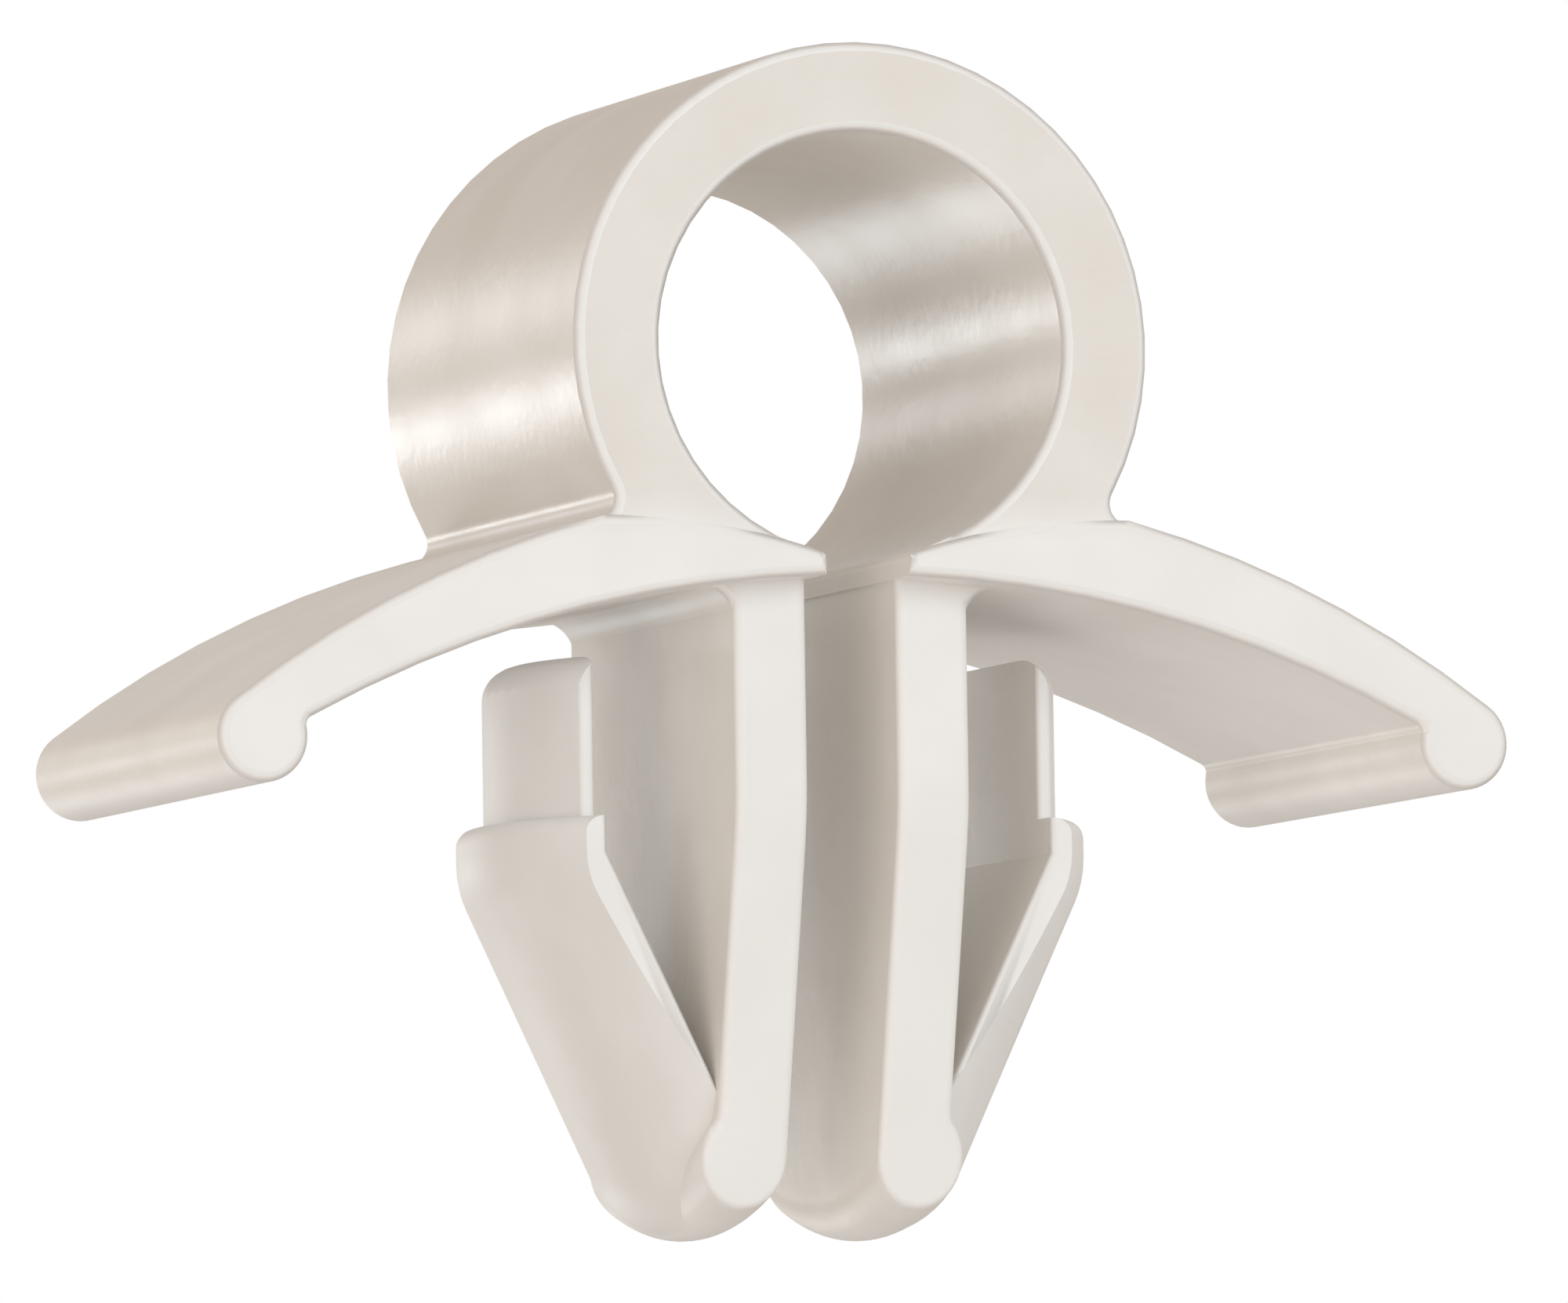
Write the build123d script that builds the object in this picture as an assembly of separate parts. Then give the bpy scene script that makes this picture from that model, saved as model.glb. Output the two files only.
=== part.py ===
from build123d import *
import math
import os

# One-piece moulded nylon clip that snaps into a round panel hole and routes a wire bundle.
# Millimetres. +Z is up out of the panel, +Y runs along the wires, X is across the wings.
# The origin is the hole's centre at the level of the barbs' shoulders, which catch the panel.

# Panel hole, and how the clip sits in it
panel_hole_diameter = 6.35
shank_clearance = 0.135
catch_overhang = 0.16

# Ring that holds the wires
bore_diameter = 4.48
ring_wall = 0.94
ring_depth = 6.50
bore_axis_height = 4.88

# Lips, where the bore opens into the slit between the legs
lip_gap = 0.92
lip_round = 0.12

# Wings, which press on the panel from outside
wing_step = 0.10
wing_reach = 7.15
wing_floor = 0.19
wing_root_thickness = 0.97
wing_tip_thickness = 0.75
bead_radius = 0.49
bead_height = 0.23
bead_corner_round = 0.10
saddle_bow_radius = 7.5
wing_root_round = 0.22

# Legs, which pass through the hole
leg_gap = 1.00
leg_thickness = 0.80
leg_root_round = 0.40
shank_length = 4.40
tip_depth = 3.46
tip_crown = 0.29
lean_bend_radius = 3.0
bulb_radius = 0.48
bulb_waist_round = 0.15

# Barbs, each with a stub that fills the hole and a head that catches the panel
stub_half_angle = 30.65
stub_side_thickness = 0.145
stub_height = 1.72
stub_top_round = 0.36
stub_corner_round = 0.06
head_half_angle = 35.8
head_height = 0.62
head_edge_round = 0.18
head_waist_round = 1.2
inner_face_height = 0.38
notch_depth = 2.84
cone_half_angle = 24.0
tip_round = 1.05
barb_tip_rise = 0.04

# Edges: rounded on the legs, which slide through the hole, and bevelled elsewhere
edge_round = 0.10
edge_bevel = 0.10
arm_edge_bevel = 0.06

# Roots run this far into the body that they grow from, so that they cross it cleanly
root_sink = 0.03

# Lengths shorter than this count as none when edges are picked out
near = 0.001

# Round sizes that follow from the hole and the bore
bore_radius = bore_diameter / 2
ring_radius = bore_radius + ring_wall
stub_radius = panel_hole_diameter / 2 - shank_clearance
head_radius = panel_hole_diameter / 2 + catch_overhang
ring_centre = (0, bore_axis_height)

# Wing in the front view (x, z): both arcs are centred on the middle line
wing_depth = ring_depth + 2 * wing_step
under_crest = bore_axis_height - bore_radius - wing_floor
top_crest = under_crest + wing_root_thickness
root_middle_z = under_crest + wing_root_thickness / 2
bead_centre = (wing_reach - bead_radius, bead_height + bead_radius)
bead_side_x = bead_centre[0] - bead_radius
bead_drop = top_crest - bead_centre[1]
top_radius = (bead_centre[0] ** 2 + bead_drop**2 - bead_radius**2) / (2 * (bead_drop - bead_radius))
top_centre = (0, top_crest - top_radius)
tip_under_z = top_centre[1] + math.sqrt(top_radius**2 - bead_side_x**2) - wing_tip_thickness
under_drop = under_crest - tip_under_z
under_radius = (bead_side_x**2 + under_drop**2) / (2 * under_drop)
under_centre = (0, under_crest - under_radius)

# Leg in the front view, whose outer corners lie on the stubs' cylinder
leg_inner_x = leg_gap / 2
leg_outer_x = leg_inner_x + leg_thickness
leg_depth = 2 * math.sqrt(stub_radius**2 - leg_outer_x**2)
bulb_x = leg_inner_x + bulb_radius
bulb_low_z = bulb_radius - shank_length
bulb_top_z = bulb_low_z + 2 * bulb_radius
crown_radius = ((tip_depth / 2) ** 2 + tip_crown**2) / (2 * tip_crown)
crown_axis_z = bulb_low_z + crown_radius

# Barb in the front view, with depths from the angles that its stub and head fill in plan
stub_depth = 2 * stub_radius * math.sin(math.radians(stub_half_angle))
head_depth = 2 * head_radius * math.sin(math.radians(head_half_angle))
stub_side_x = math.sqrt(stub_radius**2 - (stub_depth / 2) ** 2)
barb_inner_x = stub_side_x - stub_side_thickness
barb_low_z = barb_tip_rise - shank_length


def toward(start, end, distance):
    """Point at a distance from start on the way to end."""
    span = math.hypot(end[0] - start[0], end[1] - start[1])
    share = distance / span
    return (start[0] + share * (end[0] - start[0]), start[1] + share * (end[1] - start[1]))


def around(centre, radius, angle):
    """Point on a circle, at an angle in radians from the first axis."""
    return (centre[0] + radius * math.cos(angle), centre[1] + radius * math.sin(angle))


def arc_between(start, end, centre, radius):
    """Shorter arc about a centre, from one point on it to another."""
    first = math.atan2(start[1] - centre[1], start[0] - centre[0])
    last = math.atan2(end[1] - centre[1], end[0] - centre[0])
    turn = math.remainder(last - first, 2 * math.pi)
    return ThreePointArc(start, around(centre, radius, first + turn / 2), end)


def circles_meet(c0, r0, c1, r1, side):
    """Point where two circles cross, on the left (1) or right (-1) of the line c0 to c1."""
    dx = c1[0] - c0[0]
    dz = c1[1] - c0[1]
    gap = math.hypot(dx, dz)
    along = (gap**2 + r0**2 - r1**2) / (2 * gap)
    across = side * math.sqrt(r0**2 - along**2)
    ux = dx / gap
    uz = dz / gap
    return (c0[0] + along * ux - across * uz, c0[1] + along * uz + across * ux)


def slab(face, depth):
    """A front-view outline carried symmetrically about the middle plane."""
    return extrude(Plane.XZ * face, amount=depth / 2, both=True)


def turned(outline):
    """Solid of revolution about the hole's axis, from an outline of (radius, z) curves."""
    return revolve(Plane.XZ * make_face(Wire(outline)), Axis.Z)


def end_rims(solid, depth):
    """Edges of the front and back faces of a slab."""
    rims = solid.edges().filter_by_position(Axis.Y, depth / 2 - near, depth / 2 + near)
    rims += solid.edges().filter_by_position(Axis.Y, -depth / 2 - near, -depth / 2 + near)
    return rims


def end_arcs(solid, depth):
    """Round edges of the front and back faces of a slab."""
    return end_rims(solid, depth).filter_by(GeomType.CIRCLE)


def root_blend():
    """Round between the ring's outside and a wing's top: its centre, and its ends on both."""
    blend = circles_meet(
        ring_centre,
        ring_radius + wing_root_round,
        top_centre,
        top_radius + wing_root_round - root_sink,
        1,
    )
    on_ring = toward(ring_centre, blend, ring_radius)
    on_wing = toward(top_centre, blend, top_radius - root_sink)
    return blend, on_ring, on_wing


def wing():
    """Right wing: an arched blade from the lip at the slit out to the bead."""
    lip_x = lip_gap / 2 - root_sink
    lip_low = (lip_x, under_centre[1] + math.sqrt(under_radius**2 - lip_x**2))
    lip_high = (lip_x, bore_axis_height - bore_radius + root_sink)
    shoulder = toward(top_centre, root_blend()[0], top_radius)
    bead_tangent = toward(top_centre, bead_centre, top_radius)
    bead_out = around(bead_centre, bead_radius, -math.pi / 4)
    bead_corner = circles_meet(under_centre, under_radius, bead_centre, bead_radius, 1)
    outline = [
        RadiusArc(lip_high, shoulder, saddle_bow_radius),
        arc_between(shoulder, bead_tangent, top_centre, top_radius),
        ThreePointArc(bead_tangent, bead_out, bead_corner),
        arc_between(bead_corner, lip_low, under_centre, under_radius),
        Line(lip_low, lip_high),
    ]
    face = make_face(Wire(outline))
    corner = face.vertices().sort_by_distance((bead_corner[0], bead_corner[1], 0))[0]
    blade = slab(fillet(corner, bead_corner_round), wing_depth)
    return chamfer(end_rims(blade, wing_depth), edge_bevel)


def ring():
    """Ring with its root webs and bevelled rims, cut off level inside the wings' roots."""
    cut_z = under_crest + wing_floor / 2
    outline = Circle(ring_radius).locate(Location((0, bore_axis_height, 0)))
    outline -= Pos(0, cut_z) * Rectangle(
        2 * ring_radius, ring_radius, align=(Align.CENTER, Align.MAX)
    )
    outline += [root_web(), mirror(root_web(), about=Plane.YZ)]
    body = slab(outline, ring_depth)
    return chamfer(end_arcs(body, ring_depth), edge_bevel) - bore_mouths()


def root_web():
    """Outline of the web that fills the round between the ring and the right wing's top."""
    blend, on_ring, on_wing = root_blend()
    inside = (on_ring[0] / 2, root_middle_z)
    below_wing = (on_wing[0], root_middle_z)
    return make_face(Wire([
        arc_between(on_ring, on_wing, blend, wing_root_round),
        Line(on_wing, below_wing),
        Line(below_wing, inside),
        Line(inside, on_ring),
    ]))


def bore_mouths():
    """Turned cutter for the bore, bevelled at both of the ring's faces so that no wire is cut."""
    half = ring_depth / 2
    flare = bore_radius + edge_bevel
    past = half + edge_bevel
    outline = Polyline(
        (0, -past),
        (flare, -past),
        (flare, -half),
        (bore_radius, edge_bevel - half),
        (bore_radius, half - edge_bevel),
        (flare, half),
        (flare, past),
        (0, past),
        (0, -past),
    )
    return Pos(0, 0, bore_axis_height) * revolve(make_face(outline), Axis.Y)


def keyhole():
    """Cutter for the bore and the slit between the lips, with the lips' inner corners rounded."""
    slot_low = under_crest - wing_floor
    slot = Rectangle(lip_gap, bore_axis_height - slot_low, align=(Align.CENTER, Align.MIN))
    outline = Circle(bore_radius).locate(Location((0, bore_axis_height, 0)))
    outline += Pos(0, slot_low) * slot
    mouth_height = bore_axis_height - math.sqrt(bore_radius**2 - (lip_gap / 2) ** 2)
    corners = [
        outline.vertices().sort_by_distance((side * lip_gap / 2, mouth_height, 0))[0]
        for side in (1, -1)
    ]
    outline = fillet(corners, lip_round)
    return slab(outline, 2 * wing_depth)


def leg():
    """Right leg, ending in a bulb whose underside is crowned from front to back."""
    section = Pos(leg_inner_x, bulb_low_z) * Rectangle(
        leg_thickness, -bulb_low_z, align=(Align.MIN, Align.MIN)
    )
    section += Pos(bulb_x, bulb_low_z) * Circle(bulb_radius)
    crown_axis = Axis((0, 0, crown_axis_z), (1, 0, 0))
    swing = math.degrees(math.atan2(leg_depth / 2, crown_axis_z - bulb_top_z))
    start = (Plane.XZ * section).rotate(crown_axis, -swing)
    bar = Pos(leg_inner_x, bulb_top_z) * Rectangle(
        leg_thickness, root_middle_z - bulb_top_z, align=(Align.MIN, Align.MIN)
    )
    body = revolve(start, crown_axis, 2 * swing) + slab(bar, leg_depth)
    body &= leg_side_view()
    waist = body.edges().sort_by_distance((leg_outer_x, 0, bulb_low_z))[0]
    body = fillet(waist, bulb_waist_round)
    rims = body.edges().filter_by(lambda edge: abs(edge.center().Y) > tip_depth / 2 - near)
    body = fillet(rims.filter_by(Axis.X, reverse=True), edge_round)
    flare = slab(leg_flare(), leg_depth)
    return body + chamfer(end_arcs(flare, leg_depth), edge_round)


def leg_flare():
    """Outline of the web that fills the round between the leg's outside and the wing."""
    blend_x = leg_outer_x + leg_root_round - root_sink
    blend_reach = under_radius - leg_root_round + root_sink
    blend = (blend_x, under_centre[1] + math.sqrt(blend_reach**2 - blend_x**2))
    on_leg = (blend_x - leg_root_round, blend[1])
    on_wing = toward(under_centre, blend, under_radius + root_sink)
    return make_face(Wire([
        arc_between(on_leg, on_wing, blend, leg_root_round),
        Line(on_wing, (on_wing[0], root_middle_z)),
        Line((on_wing[0], root_middle_z), (bulb_x, root_middle_z)),
        Line((bulb_x, root_middle_z), (bulb_x, on_leg[1])),
        Line((bulb_x, on_leg[1]), on_leg),
    ]))


def leg_side_view():
    """Depth of the legs seen from the side: straight through the panel, then leaning in."""
    outline = Polygon(
        (leg_depth / 2, bore_axis_height),
        (leg_depth / 2, 0),
        (tip_depth / 2, -shank_length),
        (-tip_depth / 2, -shank_length),
        (-leg_depth / 2, 0),
        (-leg_depth / 2, bore_axis_height),
        align=None,
    )
    bends = outline.vertices().filter_by(lambda corner: abs(corner.Y) < near)
    outline = fillet(bends, lean_bend_radius)
    return extrude(Plane.YZ * outline, amount=wing_reach, both=True)


def stub_envelope():
    """Cylinder that fills the hole, with a rounded top edge."""
    flat_radius = stub_radius - stub_top_round
    side_top = stub_height - stub_top_round
    return turned([
        Line((0, -head_height), (stub_radius, -head_height)),
        Line((stub_radius, -head_height), (stub_radius, side_top)),
        arc_between(
            (stub_radius, side_top),
            (flat_radius, stub_height),
            (flat_radius, side_top),
            stub_top_round,
        ),
        Line((flat_radius, stub_height), (0, stub_height)),
        Line((0, stub_height), (0, -head_height)),
    ])


def head_envelope():
    """Barb's turned outside: flat shoulder, short cylinder, round waist, cone and round tip."""
    edge_x = head_radius - head_edge_round
    waist_rise = head_waist_round * math.tan(math.radians(cone_half_angle) / 2)
    waist = (head_radius - head_waist_round, waist_rise - head_height)
    tip_z = barb_low_z + tip_round
    normal_x = math.cos(math.radians(cone_half_angle))
    normal_z = -math.sin(math.radians(cone_half_angle))
    cone_top = (head_radius, -head_height)
    cone_offset = normal_x * cone_top[0] + normal_z * cone_top[1] - tip_round
    tip_x = (cone_offset - normal_z * tip_z) / normal_x
    cone_low = (tip_x + tip_round * normal_x, tip_z + tip_round * normal_z)
    waist_top = (head_radius, waist[1])
    waist_low = (waist[0] + head_waist_round * normal_x, waist[1] + head_waist_round * normal_z)
    return turned([
        Line((0, 0), (edge_x, 0)),
        arc_between(
            (edge_x, 0), (head_radius, -head_edge_round), (edge_x, -head_edge_round), head_edge_round
        ),
        Line((head_radius, -head_edge_round), waist_top),
        arc_between(waist_top, waist_low, waist, head_waist_round),
        Line(waist_low, cone_low),
        arc_between(cone_low, (tip_x, barb_low_z), (tip_x, tip_z), tip_round),
        Line((tip_x, barb_low_z), (0, barb_low_z)),
        Line((0, barb_low_z), (0, 0)),
    ])


def arm_outline():
    """Front view of the head and its arm, open to the outside, where the turned form ends it."""
    beyond = 2 * head_radius
    below = -2 * shank_length
    run = (barb_inner_x - leg_outer_x) / (notch_depth - inner_face_height)
    inside_z = -notch_depth - (leg_outer_x - bulb_x) / run
    return make_face(Polyline(
        (barb_inner_x, head_height),
        (barb_inner_x, -inner_face_height),
        (bulb_x, inside_z),
        (bulb_x, below),
        (beyond, below),
        (beyond, head_height),
        (barb_inner_x, head_height),
    ))


def head():
    """Head and arm of the right barb, which spring from the bulb and catch the panel."""
    blank = slab(arm_outline(), head_depth)
    rims = blank.edges().filter_by(lambda edge: abs(edge.center().Y) > head_depth / 2 - near)
    rims = rims.filter_by(lambda edge: bulb_x + near < edge.center().X < barb_inner_x + near)
    return chamfer(rims, arm_edge_bevel) & head_envelope()


def stub():
    """Stub on top of the right barb's head, which fills the panel's hole."""
    half = stub_depth / 2
    plan = make_face(Wire([
        ThreePointArc((stub_side_x, -half), (stub_radius, 0), (stub_side_x, half)),
        Line((stub_side_x, half), (barb_inner_x, half)),
        Line((barb_inner_x, half), (barb_inner_x, -half)),
        Line((barb_inner_x, -half), (stub_side_x, -half)),
    ]))
    tall = Pos(0, 0, -inner_face_height) * extrude(plan, inner_face_height + stub_height)
    return fillet(tall.edges().filter_by(Axis.Z), stub_corner_round) & stub_envelope()


def clip():
    """The whole clip, as the one solid that it is moulded in."""
    right = wing() + leg() + head() + stub()
    body = ring() + right + mirror(right, about=Plane.YZ)
    return body - keyhole()


os.makedirs("parts", exist_ok=True)
routing_clip = clip()
routing_clip.label = "routing_clip"
export_step(routing_clip, "parts/routing_clip.step")
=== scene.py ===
import math

import bpy
import numpy as np
from mathutils import Matrix, Vector


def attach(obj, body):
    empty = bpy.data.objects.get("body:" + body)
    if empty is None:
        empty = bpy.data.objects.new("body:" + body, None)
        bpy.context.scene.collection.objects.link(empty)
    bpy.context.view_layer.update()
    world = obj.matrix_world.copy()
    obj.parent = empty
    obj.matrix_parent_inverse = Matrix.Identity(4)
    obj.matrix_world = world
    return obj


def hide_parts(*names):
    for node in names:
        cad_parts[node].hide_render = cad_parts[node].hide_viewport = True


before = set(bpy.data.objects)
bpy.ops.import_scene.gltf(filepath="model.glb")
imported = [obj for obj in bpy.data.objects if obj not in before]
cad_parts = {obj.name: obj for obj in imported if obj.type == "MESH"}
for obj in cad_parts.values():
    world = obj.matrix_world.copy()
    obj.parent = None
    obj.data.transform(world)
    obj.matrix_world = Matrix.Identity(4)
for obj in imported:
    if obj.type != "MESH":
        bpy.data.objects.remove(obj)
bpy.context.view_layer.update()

MM = 0.001

# Camera of the reference view, in degrees and metres, for a frame of 2000 x 1662
VIEW_AZIMUTH = -19.178
VIEW_ELEVATION = -4.0025
VIEW_ROLL = -0.887
VIEW_DISTANCE = 188.84 * MM
AIM_RIGHT = 0.1835 * MM
AIM_UP = 1.8657 * MM
CLIP_START = 0.01
CLIP_END = 20

# Sensor and lens, which Blender takes in millimetres
SENSOR_WIDTH = 36.0
FOCAL_LENGTH = 407.9

# Skin of the moulded clip: weld distance, and turns in degrees that count as flat or as smooth
WELD = 0.0002 * MM
FLAT_ANGLE = 1.0
SMOOTH_ANGLE = 20.0
BEVEL_ANGLE = 50.0
SHORTEST = 1e-30
AREA_SLACK = 1e-9

# Front planes of the ring, the legs and the barbs' arms, as distances from the middle
RING_FRONT = 3.25 * MM
LEG_FRONT = 2.75 * MM
LEG_TIP_FRONT = 1.73 * MM
LEG_TIP_HEIGHT = -4.40 * MM
ARM_FRONT = 1.95 * MM

# How far from a front plane its broken edges lie
RIM_REACH = 0.12 * MM
ARM_RIM_REACH = 0.07 * MM

# Share of a normal's level part that points away from the Z axis on turned surfaces
TURNED_SHARE = 0.96

# Distances from the middle plane between which outward faces are turned
LEG_SIDE = 1.35 * MM
BARB_SIDE = 3.50 * MM

# X part of the normal at which a surface begins to be a side wall painted darker as shade, and
# at which it is one
WALL_START = 0.5
WALL_FULL = 0.9

# Heights between which the whiter wings turn into the ring, which is painted darker and warmer
# as shade
WHITE_HEIGHT = 2.8 * MM
WARM_HEIGHT = 3.3 * MM

# Values between which most of a noise lies
NOISE_LOW = 0.35
NOISE_HIGH = 0.65

# Nylon: each part's tint and roughness vary slowly between two values. The wall tints are a
# painted shade on walls that face sideways, the warm tints a painted shade on the ring, and the
# rim tint a painted highlight on broken edges
WHITE_TINTS = ((0.875, 0.868, 0.858), (0.915, 0.911, 0.905))
WALL_SHADE_TINTS = ((0.84, 0.81, 0.768), (0.88, 0.852, 0.815))
RING_SHADE_TINTS = ((0.76, 0.725, 0.68), (0.80, 0.77, 0.73))
RIM_HIGHLIGHT_TINT = (0.93, 0.925, 0.915)
SHANK_ROUGHNESS = (0.46, 0.50)
RING_ROUGHNESS = (0.32, 0.35)
NYLON_IOR = 1.53
CLOUD_CELL = 1.6 * MM
CLOUD_DETAIL = 3
SHEEN_CELL = 1.1 * MM
GRAIN_CELL = 0.14 * MM
GRAIN_HEIGHT = 0.004 * MM

# Floor, which fades to white between the near and the far distance from its middle
FLOOR_HEIGHT = -350 * MM
FLOOR_SIZE = 12.0
FLOOR_NEAR = 0.15
FLOOR_FAR = 0.90
PAPER_TINTS = ((0.86, 0.86, 0.855), (0.89, 0.89, 0.885))
PAPER_ROUGHNESS = 0.9
FIBRE_CELL = 1.5 * MM
FIBRE_DETAIL = 4
FIBRE_ROUGHNESS = 0.6

# Even light from all around, as seen by the clip
DAYLIGHT_TINT = (1, 0.90, 0.81)
DAYLIGHT_STRENGTH = 0.60

# Lamps: azimuth and elevation in degrees, distance and size in metres, radiance, tint
LAMPS = {
    "Key": (14, 15, 0.36, (0.22, 0.22), 2.9, (0.83, 0.935, 1.0)),
    "Left fill": (-50, -12, 0.40, (0.25, 0.25), 1.3, (1.0, 0.94, 0.88)),
    "Upper band": (-164, 11, 0.30, (0.12, 0.034), 2.2, (0.93, 0.975, 1.0)),
    "Lower band": (-163, -1, 0.30, (0.12, 0.022), 7.0, (0.93, 0.975, 1.0)),
    "Bore band": (-166, -21, 0.30, (0.12, 0.045), 4.8, (0.90, 0.965, 1.0)),
    "Edge strip": (-72, 4, 0.30, (0.02, 0.24), 1.0, (1, 1, 1)),
}


# Shapes

def cosine(degrees):
    """Cosine of an angle in degrees."""
    return math.cos(math.radians(degrees))


def placed(name, data):
    """A new object in the scene that holds the given mesh, lamp or camera."""
    item = bpy.data.objects.new(name, data)
    bpy.context.scene.collection.objects.link(item)
    return item


def welded_triangles(node):
    """Points and triangles of a CAD node, with points closer than WELD made one.

    Each loose corner is rounded to a grid of WELD, and equal grid points share one index.
    """
    mesh = node.data
    loose = np.empty(3 * len(mesh.vertices))
    mesh.vertices.foreach_get("co", loose)
    loose = loose.reshape(-1, 3)
    corners = np.empty(3 * len(mesh.polygons), dtype=np.int64)
    mesh.polygons.foreach_get("vertices", corners)
    grid = np.round(loose / WELD).astype(np.int64)
    _, first, shared = np.unique(grid, axis=0, return_index=True, return_inverse=True)
    triangles = shared.reshape(-1)[corners].reshape(-1, 3)
    whole = (
        (triangles[:, 0] != triangles[:, 1])
        & (triangles[:, 1] != triangles[:, 2])
        & (triangles[:, 2] != triangles[:, 0])
    )
    return loose[first], triangles[whole]


def triangle_normals(points, triangles):
    """Unit normals and areas: the cross product of two sides, whose length is twice the area."""
    a, b, c = (points[triangles[:, k]] for k in range(3))
    normals = np.cross(b - a, c - a)
    doubles = np.linalg.norm(normals, axis=1)
    return normals / np.maximum(doubles, SHORTEST)[:, None], doubles / 2


def joined_areas(triangles, normals, areas, angle):
    """Area of the patch of each triangle.

    Two triangles that share a side are of one patch where their normals turn by less than
    angle. Each triangle starts with its own number and takes the lowest one of its neighbours,
    until no number changes.
    """
    sides = np.concatenate([triangles[:, [0, 1]], triangles[:, [1, 2]], triangles[:, [2, 0]]])
    owner = np.tile(np.arange(len(triangles)), 3)
    keys = sides.min(axis=1).astype(np.int64) * (triangles.max() + 1) + sides.max(axis=1)
    order = np.argsort(keys, kind="stable")
    twin = np.flatnonzero(keys[order][1:] == keys[order][:-1])
    one = owner[order[twin]]
    other = owner[order[twin + 1]]
    level = (normals[one] * normals[other]).sum(axis=1) > cosine(angle)
    one = one[level]
    other = other[level]
    patch = np.arange(len(triangles))
    changed = True
    while changed:
        before = patch.copy()
        lowest = np.minimum(patch[one], patch[other])
        np.minimum.at(patch, one, lowest)
        np.minimum.at(patch, other, lowest)
        patch = patch[patch]
        changed = bool((patch != before).any())
    return np.bincount(patch, areas, len(triangles))[patch]


def corner_normals(points, triangles, normals, areas):
    """Normals of all corners, with which flats shade flat and rounds and bevels shade round.

    At each corner the triangles round its point are taken that go on smoothly, or over a bevel
    that falls away. Of these only the ones of the largest smooth patch count, so a bevel takes
    the normals of the two faces that it joins. The normal is their mean, weighted by the area of
    the flat patch that each is part of and by its angle at the point.
    """
    smooth_area = joined_areas(triangles, normals, areas, SMOOTH_ANGLE)
    flat_area = joined_areas(triangles, normals, areas, FLAT_ANGLE)
    corner_points = points[triangles]
    ahead = np.roll(corner_points, -1, axis=1) - corner_points
    behind = np.roll(corner_points, 1, axis=1) - corner_points
    spans = np.linalg.norm(ahead, axis=2) * np.linalg.norm(behind, axis=2)
    turns = (ahead * behind).sum(axis=2) / np.maximum(spans, SHORTEST)
    weights = (np.arccos(np.clip(turns, -1, 1)) * flat_area[:, None]).reshape(-1)
    middles = corner_points.mean(axis=1)

    # All pairs of corners that share a point, in runs of one corner and each of its partners
    owner = np.repeat(np.arange(len(triangles)), 3)
    place = triangles.reshape(-1)
    order = np.argsort(place, kind="stable")
    counts = np.bincount(place, minlength=len(points))
    starts = np.concatenate([[0], np.cumsum(counts)[:-1]])
    partners = counts[place]
    first_pair = np.concatenate([[0], np.cumsum(partners)[:-1]])
    corner = np.repeat(np.arange(len(place)), partners)
    step = np.arange(len(corner)) - first_pair[corner]
    partner = order[starts[place[corner]] + step]

    mine = normals[owner[corner]]
    theirs = normals[owner[partner]]
    agree = (mine * theirs).sum(axis=1)
    fall = ((middles[owner[partner]] - points[place[corner]]) * mine).sum(axis=1)
    joined = (agree > cosine(SMOOTH_ANGLE)) | ((agree > cosine(BEVEL_ANGLE)) & (fall < 0))
    joined |= corner == partner
    reach = np.where(joined, smooth_area[owner[partner]], 0)
    widest = np.maximum.reduceat(reach, first_pair)
    counted = joined & (reach >= widest[corner] * (1 - AREA_SLACK))
    shares = np.where(counted, weights[partner], 0)[:, None] * theirs
    summed = np.add.reduceat(shares, first_pair, axis=0)
    return summed / np.maximum(np.linalg.norm(summed, axis=1, keepdims=True), SHORTEST)


def rim_highlight_share(points, triangles, normals):
    """How far each triangle is part of a broken front or back edge, painted as a whiter
    highlight, from 0 to 1.

    The share is the sine of twice the angle between the triangle's normal and Y, which is 1 on a
    bevel at 45 degrees and 0 on the flats that it joins. It counts only within reach of the
    ring's front plane or beyond it, where the wings end, of the legs' one, which leans in below
    the panel, and of the barb arms' one, where turned surfaces are left out.
    """
    x, y, z = points[triangles].mean(axis=1).T
    depth = np.abs(y)
    lean = np.abs(normals[:, 1])
    share = 2 * lean * np.sqrt(np.maximum(1 - lean**2, 0))
    leg_front = LEG_FRONT - (LEG_FRONT - LEG_TIP_FRONT) * np.clip(z / LEG_TIP_HEIGHT, 0, 1)
    outward = normals[:, 0] * x + normals[:, 1] * y
    level = np.hypot(normals[:, 0], normals[:, 1]) * np.hypot(x, y)
    turned = outward > TURNED_SHARE * level
    on_rim = (
        (depth > RING_FRONT - RIM_REACH)
        | (np.abs(depth - leg_front) < RIM_REACH)
        | ((np.abs(depth - ARM_FRONT) < ARM_RIM_REACH) & ~turned)
    )
    return np.where(on_rim, share, 0)


def wall_shade_share(places, normals):
    """How far each corner is part of a wall that faces sideways, painted darker as shade, from 0
    to 1.

    The share rises from 0 to 1 as the X part of the corner's normal goes from WALL_START to
    WALL_FULL. The turned outsides of stubs, barbs and bulbs are no walls: they face outward,
    farther out than the legs' sides and nearer than the wings' beads.
    """
    across = np.abs(places[:, 0])
    outward = places[:, 0] * normals[:, 0] > 0
    turned = outward & (across > LEG_SIDE) & (across < BARB_SIDE)
    share = (np.abs(normals[:, 0]) - WALL_START) / (WALL_FULL - WALL_START)
    return np.where(turned, 0, np.clip(share, 0, 1))


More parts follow.
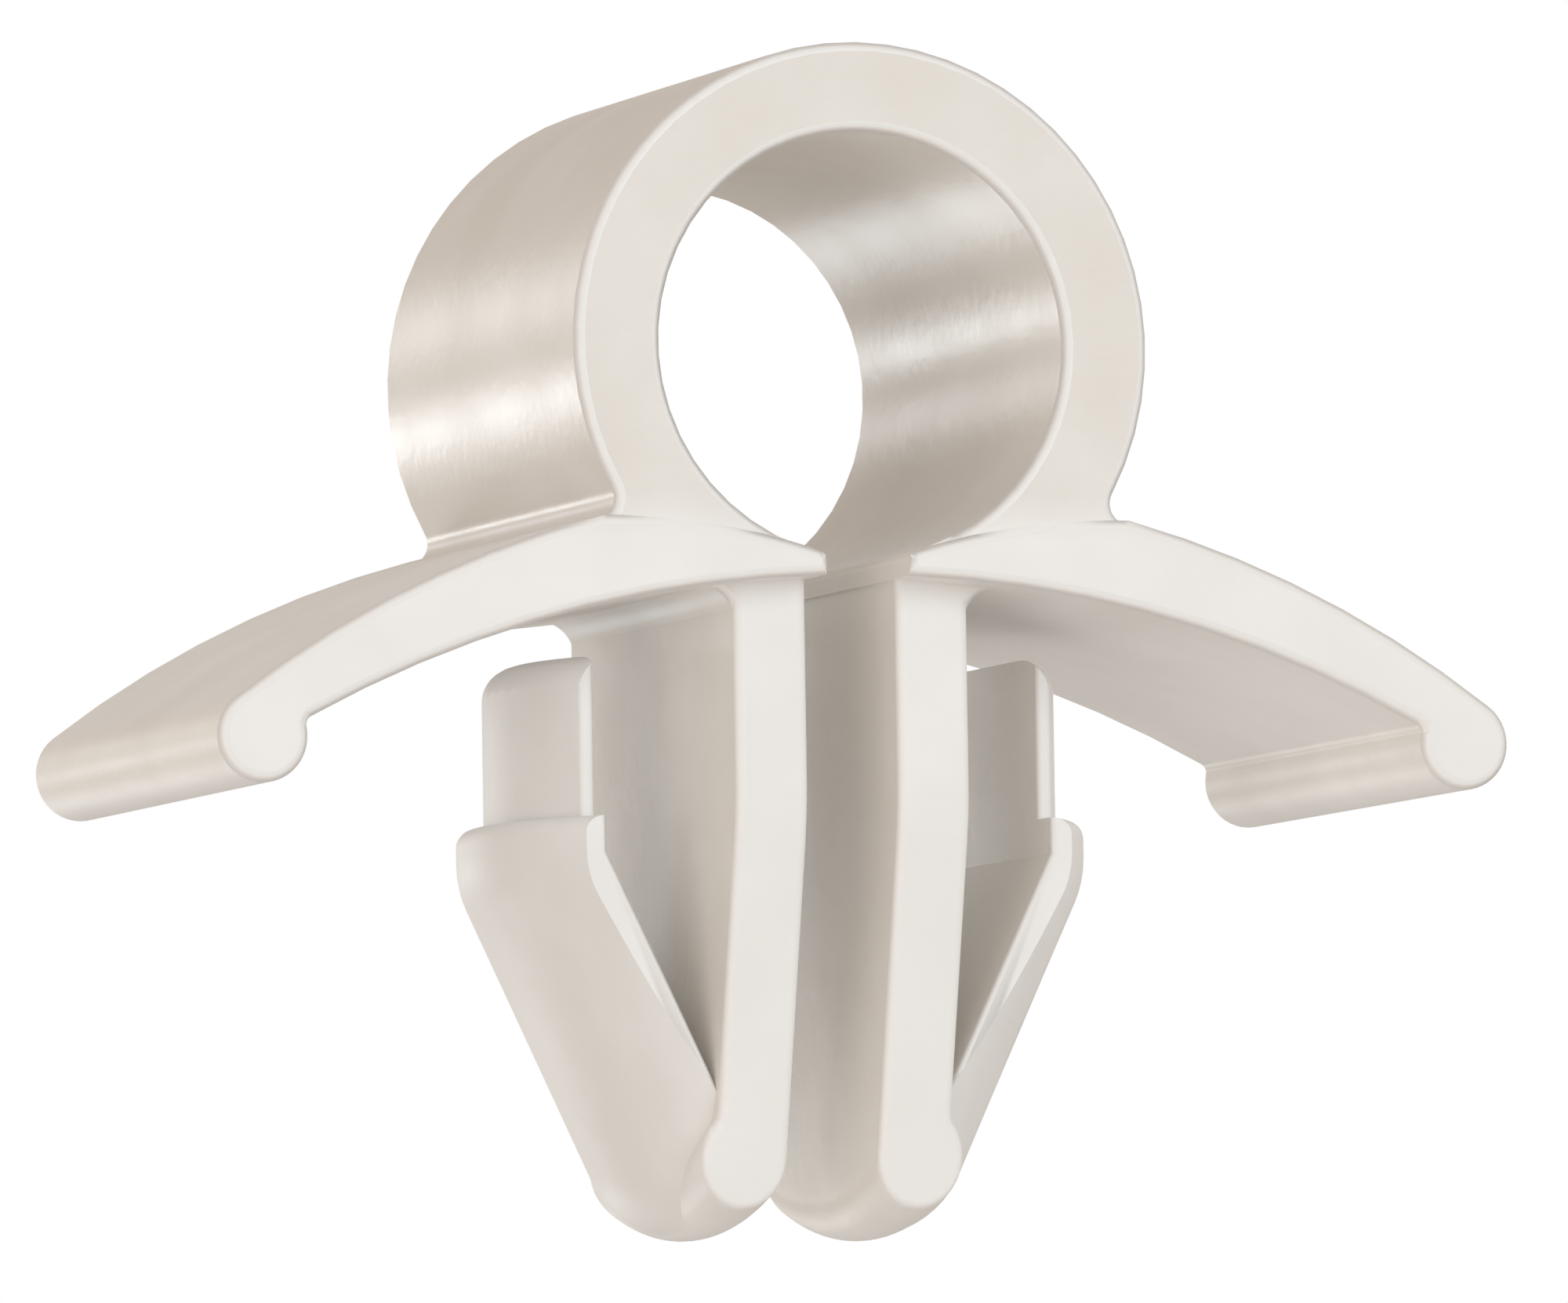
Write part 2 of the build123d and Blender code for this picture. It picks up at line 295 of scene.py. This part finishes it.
def moulded_skin(node, name):
    """The clip's solid as one welded skin, with its broken edges marked for a painted highlight
    and its side walls for a painted shade.
    """
    points, triangles = welded_triangles(node)
    normals, areas = triangle_normals(points, triangles)
    rounded = corner_normals(points, triangles, normals, areas)
    mesh = bpy.data.meshes.new(name)
    mesh.from_pydata(points.tolist(), [], triangles.tolist())
    mesh.update()
    mesh.polygons.foreach_set("use_smooth", np.ones(len(triangles), dtype=bool))
    # The rim share is the whiter tint painted on the broken edges as a highlight
    rim_highlight = mesh.attributes.new("rim_highlight", "FLOAT", "FACE")
    rim_highlight.data.foreach_set("value", rim_highlight_share(points, triangles, normals))
    # The wall share is the darker, warmer tint painted on walls that face sideways as shade
    wall_shade = mesh.attributes.new("wall_shade", "FLOAT", "CORNER")
    wall_shade.data.foreach_set("value", wall_shade_share(points[triangles.reshape(-1)], rounded))
    mesh.normals_split_custom_set(rounded.tolist())
    return placed(name, mesh)


def floor_sheet(name, size, height):
    """A flat square: its corners are at plus and minus half its size in X and Y."""
    half = size / 2
    corners = np.array([[-half, -half], [half, -half], [half, half], [-half, half]])
    points = np.column_stack([corners, np.full(len(corners), height)])
    mesh = bpy.data.meshes.new(name)
    mesh.from_pydata(points.tolist(), [], [range(len(corners))])
    mesh.update()
    return placed(name, mesh)


# Materials

def node_material(name):
    """An empty node material with its shader and its object coordinates."""
    material = bpy.data.materials.new(name)
    material.use_nodes = True
    nodes = material.node_tree.nodes
    nodes.clear()
    shader = nodes.new("ShaderNodeBsdfPrincipled")
    output = nodes.new("ShaderNodeOutputMaterial")
    place = nodes.new("ShaderNodeTexCoord")
    material.node_tree.links.new(shader.outputs["BSDF"], output.inputs["Surface"])
    return material, shader, place.outputs["Object"]


def noise(material, place, cell, detail=1, roughness=0.5):
    """Noise with cells of the given size in metres."""
    texture = material.node_tree.nodes.new("ShaderNodeTexNoise")
    texture.inputs["Scale"].default_value = 1 / cell
    texture.inputs["Detail"].default_value = detail
    texture.inputs["Roughness"].default_value = roughness
    material.node_tree.links.new(place, texture.inputs["Vector"])
    return texture.outputs["Fac"]


def ranged(material, value, low=0, high=1, start=NOISE_LOW, end=NOISE_HIGH):
    """A value turned evenly from the range of start to end into that of low to high."""
    spread = material.node_tree.nodes.new("ShaderNodeMapRange")
    spread.inputs["From Min"].default_value = start
    spread.inputs["From Max"].default_value = end
    spread.inputs["To Min"].default_value = low
    spread.inputs["To Max"].default_value = high
    material.node_tree.links.new(value, spread.inputs["Value"])
    return spread.outputs["Result"]


def marked(material, name):
    """The mesh's own share for each place of its surface."""
    attribute = material.node_tree.nodes.new("ShaderNodeAttribute")
    attribute.attribute_name = name
    return attribute.outputs["Fac"]


def mixed(material, share, first, second):
    """A colour between two others, each a tint or worked out elsewhere, by a share of 0 to 1."""
    mix = material.node_tree.nodes.new("ShaderNodeMix")
    mix.data_type = "RGBA"
    material.node_tree.links.new(share, mix.inputs["Factor"])
    for end, colour in (("A", first), ("B", second)):
        if isinstance(colour, tuple):
            mix.inputs[end].default_value = (*colour, 1)
        else:
            material.node_tree.links.new(colour, mix.inputs[end])
    return mix.outputs["Result"]


def mixed_values(material, share, first, second):
    """A value between two others that are worked out elsewhere, by a share of 0 to 1."""
    mix = material.node_tree.nodes.new("ShaderNodeMix")
    material.node_tree.links.new(share, mix.inputs["Factor"])
    material.node_tree.links.new(first, mix.inputs["A"])
    material.node_tree.links.new(second, mix.inputs["B"])
    return mix.outputs["Result"]


def bumped(material, height, distance):
    """Normals of a surface raised by a height value of 0 to 1 times the distance in metres."""
    bump = material.node_tree.nodes.new("ShaderNodeBump")
    bump.inputs["Strength"].default_value = 1
    bump.inputs["Distance"].default_value = distance
    material.node_tree.links.new(height, bump.inputs["Height"])
    return bump.outputs["Normal"]


def natural_nylon():
    """Undyed nylon as moulded: faintly clouded off-white, with a satin skin.

    The ring is glossier than the wings and legs and painted a little darker and warmer as shade,
    the walls that face sideways get a painted shade as warm as between the two, and the broken
    edges a painted whiter highlight. The fine grain is that of the mould's eroded faces.
    """
    material, shader, place = node_material("natural_nylon")
    links = material.node_tree.links
    axes = material.node_tree.nodes.new("ShaderNodeSeparateXYZ")
    links.new(place, axes.inputs["Vector"])
    # The rise share gives the ring its glossier roughness and a painted darker, warmer shade
    rise = ranged(material, axes.outputs["Z"], 0, 1, WHITE_HEIGHT, WARM_HEIGHT)

    cloud = ranged(material, noise(material, place, CLOUD_CELL, CLOUD_DETAIL))
    white = mixed(material, cloud, *WHITE_TINTS)
    # Painted shade: the darker, warmer tint of walls that face sideways
    wall_shade = mixed(material, cloud, *WALL_SHADE_TINTS)
    # Painted shade: the darker, warmer tint of the ring
    ring_shade = mixed(material, cloud, *RING_SHADE_TINTS)
    shank = mixed(material, marked(material, "wall_shade"), white, wall_shade)
    body = mixed(material, rise, shank, ring_shade)
    # Painted highlight: the whiter tint of the broken edges
    whole = mixed(material, marked(material, "rim_highlight"), body, RIM_HIGHLIGHT_TINT)
    links.new(whole, shader.inputs["Base Color"])

    sheen = noise(material, place, SHEEN_CELL)
    satin = ranged(material, sheen, *SHANK_ROUGHNESS)
    glossier = ranged(material, sheen, *RING_ROUGHNESS)
    links.new(mixed_values(material, rise, satin, glossier), shader.inputs["Roughness"])
    grain = bumped(material, noise(material, place, GRAIN_CELL), GRAIN_HEIGHT)
    links.new(grain, shader.inputs["Normal"])
    shader.inputs["IOR"].default_value = NYLON_IOR
    return material


def studio_paper():
    """Pale matt paper of the floor, with a faint fibre, which fades into the white backdrop.

    It looks white from FLOOR_FAR on, by a light of its own that only the camera sees and
    that grows from none at FLOOR_NEAR from the middle.
    """
    material, shader, place = node_material("studio_paper")
    nodes = material.node_tree.nodes
    links = material.node_tree.links
    fibre = ranged(material, noise(material, place, FIBRE_CELL, FIBRE_DETAIL, FIBRE_ROUGHNESS))
    links.new(mixed(material, fibre, *PAPER_TINTS), shader.inputs["Base Color"])
    shader.inputs["Roughness"].default_value = PAPER_ROUGHNESS
    shader.inputs["Specular IOR Level"].default_value = 0
    flattened = nodes.new("ShaderNodeMapping")
    flattened.inputs["Scale"].default_value = (1, 1, 0)
    links.new(place, flattened.inputs["Vector"])
    distance = nodes.new("ShaderNodeVectorMath")
    distance.operation = "LENGTH"
    links.new(flattened.outputs["Vector"], distance.inputs[0])
    fade = ranged(material, distance.outputs["Value"], 0, 1, FLOOR_NEAR, FLOOR_FAR)
    seen = nodes.new("ShaderNodeMath")
    seen.operation = "MULTIPLY"
    links.new(fade, seen.inputs[0])
    links.new(nodes.new("ShaderNodeLightPath").outputs["Is Camera Ray"], seen.inputs[1])
    shader.inputs["Emission Color"].default_value = (1, 1, 1, 1)
    links.new(seen.outputs["Value"], shader.inputs["Emission Strength"])
    return material


# Studio light and camera

def direction(azimuth, elevation):
    """Unit vector from the clip: (sin az cos el, -cos az cos el, sin el), angles in degrees.

    Azimuth 0 is in front of the clip, at -Y, and 90 on its right, at +X.
    """
    turn = math.radians(azimuth)
    rise = math.radians(elevation)
    return Vector((
        math.sin(turn) * math.cos(rise), -math.cos(turn) * math.cos(rise), math.sin(rise)
    ))


def softbox(name, azimuth, elevation, distance, size, radiance, tint):
    """An oblong area light that faces the clip's middle: its power is radiance x pi x area."""
    light = bpy.data.lights.new(name, "AREA")
    light.shape = "RECTANGLE"
    light.size, light.size_y = size
    light.energy = radiance * math.pi * size[0] * size[1]
    light.color = tint
    lamp = placed(name, light)
    toward = direction(azimuth, elevation)
    lamp.location = toward * distance + Vector((0, 0, AIM_UP))
    lamp.rotation_mode = "QUATERNION"
    lamp.rotation_quaternion = toward.to_track_quat("Z", "Y")
    lamp.visible_camera = False


def daylight(tint, strength):
    """Even light from all around, in front of a backdrop that the camera sees as plain white."""
    world = bpy.data.worlds.new("Studio")
    world.use_nodes = True
    nodes = world.node_tree.nodes
    links = world.node_tree.links
    around = nodes["Background"]
    around.inputs["Color"].default_value = (*tint, 1)
    around.inputs["Strength"].default_value = strength
    backdrop = nodes.new("ShaderNodeBackground")
    backdrop.inputs["Color"].default_value = (1, 1, 1, 1)
    seen = nodes.new("ShaderNodeLightPath")
    mix = nodes.new("ShaderNodeMixShader")
    links.new(seen.outputs["Is Camera Ray"], mix.inputs["Fac"])
    links.new(around.outputs["Background"], mix.inputs[1])
    links.new(backdrop.outputs["Background"], mix.inputs[2])
    links.new(mix.outputs["Shader"], nodes["World Output"].inputs["Surface"])
    bpy.context.scene.world = world


def reference_camera():
    """Camera on a sphere round its aim: back is the unit vector from the aim to the camera.

    right = (cos az, sin az, 0) and up = back x right. The roll turns both about back.
    """
    azimuth = math.radians(VIEW_AZIMUTH)
    roll = math.radians(VIEW_ROLL)
    back = direction(VIEW_AZIMUTH, VIEW_ELEVATION)
    right = Vector((math.cos(azimuth), math.sin(azimuth), 0))
    up = back.cross(right)
    aim = right * AIM_RIGHT + up * AIM_UP
    rolled_right = right * math.cos(roll) + up * math.sin(roll)
    rolled_up = up * math.cos(roll) - right * math.sin(roll)
    data = bpy.data.cameras.new("Reference view")
    data.sensor_width = SENSOR_WIDTH
    data.lens = FOCAL_LENGTH
    data.clip_start = CLIP_START
    data.clip_end = CLIP_END
    camera = placed("Reference view", data)
    turn = Matrix((rolled_right, rolled_up, back)).transposed()
    camera.matrix_world = Matrix.Translation(aim + back * VIEW_DISTANCE) @ turn.to_4x4()
    bpy.context.scene.camera = camera


# The clip

clip_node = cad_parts["routing_clip"]
clip_skin = moulded_skin(clip_node, "clip_skin")
clip_skin.data.materials.append(natural_nylon())
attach(clip_skin, "root")
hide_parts("routing_clip")

# The studio

floor = floor_sheet("studio_floor", FLOOR_SIZE, FLOOR_HEIGHT)
floor.data.materials.append(studio_paper())
daylight(DAYLIGHT_TINT, DAYLIGHT_STRENGTH)
for lamp_name, settings in LAMPS.items():
    softbox(lamp_name, *settings)
bpy.context.scene.view_settings.view_transform = "Standard"
reference_camera()
